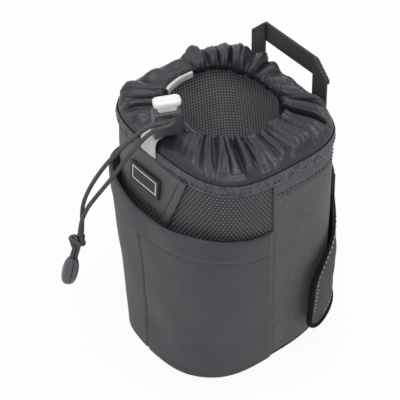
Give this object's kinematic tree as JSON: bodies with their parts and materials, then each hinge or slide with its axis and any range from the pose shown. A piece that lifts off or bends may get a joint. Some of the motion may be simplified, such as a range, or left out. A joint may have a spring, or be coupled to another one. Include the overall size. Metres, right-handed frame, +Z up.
{
  "type": "lens pouch",
  "caption": "Padded fabric lens pouch with a gathered drawcord collar, squeeze cord lock, stretch front pocket, carry handle and a belt flap on the back.",
  "frame": {"origin": "middle of the base panel's underside", "axes": "+Z up out of the mouth, -Y to the front (label, pocket and cord lock), +Y to the back (handle and belt flap), +X to the pouch's right as seen from the front"},
  "size_m": [0.1469, 0.2023, 0.2322],
  "materials": {
    "twill": "matte twill weave",
    "raised_mesh": "raised-cell spacer mesh",
    "stretch": "smooth stretch knit",
    "nylon": "sheened ripstop",
    "dark_webbing": "matte woven webbing and cord",
    "lining": "grid lining",
    "foam": "closed-cell padding",
    "white_plastic": "satin",
    "black_plastic": "semi-gloss",
    "rubber": "matte",
    "pale_webbing": "matte woven",
    "white_cloth": "satin ribbon",
    "spring_steel": "bright"
  },
  "bodies": {
    "pouch": {"side_wall": "twill", "side_top_band": "twill", "front_panel": "raised_mesh", "pocket_panel": "stretch", "pocket_hem": "stretch", "rim_binding": "nylon", "collar": "nylon", "collar_hem": "nylon", "base_panel": "dark_webbing", "lining_seam_tape": "dark_webbing", "front_shield": "dark_webbing", "pocket_elastic": "dark_webbing", "drawcord_tail_upper": "dark_webbing", "drawcord_tail_lower": "dark_webbing", "drawcord_loop": "dark_webbing", "drawcord_knot": "dark_webbing", "drawcord_lead_left": "dark_webbing", "drawcord_lead_right": "dark_webbing", "handle_foot_left": "dark_webbing", "handle_foot_right": "dark_webbing", "belt_loop_patch": "dark_webbing", "belt_flap_anchor": "dark_webbing", "lining_wall": "lining", "lining_base": "lining", "foam_wall": "foam", "foam_base": "foam", "cord_lock_housing": "black_plastic", "cord_end_front": "black_plastic", "cord_end_back": "black_plastic", "label_patch": "rubber", "lock_tab": "pale_webbing", "care_label": "white_cloth", "cord_lock_spring": "spring_steel"},
    "handle": {"handle_webbing": "dark_webbing"},
    "belt_flap": {"belt_flap_panel": "twill", "belt_flap_binding": "dark_webbing", "belt_hook_patch": "dark_webbing"},
    "lock_button": {"cord_lock_button": "white_plastic"}
  },
  "joints": [
    {"name": "handle_fold", "type": "hinge", "parent": "pouch", "child": "handle", "pos_m": [0, 0.0631, 0.1876], "axis": [1, 0, 0], "range_deg": [-95, 0], "stiffness_Nm_per_rad": 0.006},
    {"name": "belt_flap_open", "type": "hinge", "parent": "pouch", "child": "belt_flap", "pos_m": [0, 0.06854, 0.15], "axis": [1, 0, 0], "range_deg": [0, 100]},
    {"name": "lock_press", "type": "slide", "parent": "pouch", "child": "lock_button", "axis": [0, 0, -1], "range_m": [0, 0.0025], "stiffness_N_per_m": 200, "deforming": ["cord_lock_spring"]}
  ]
}
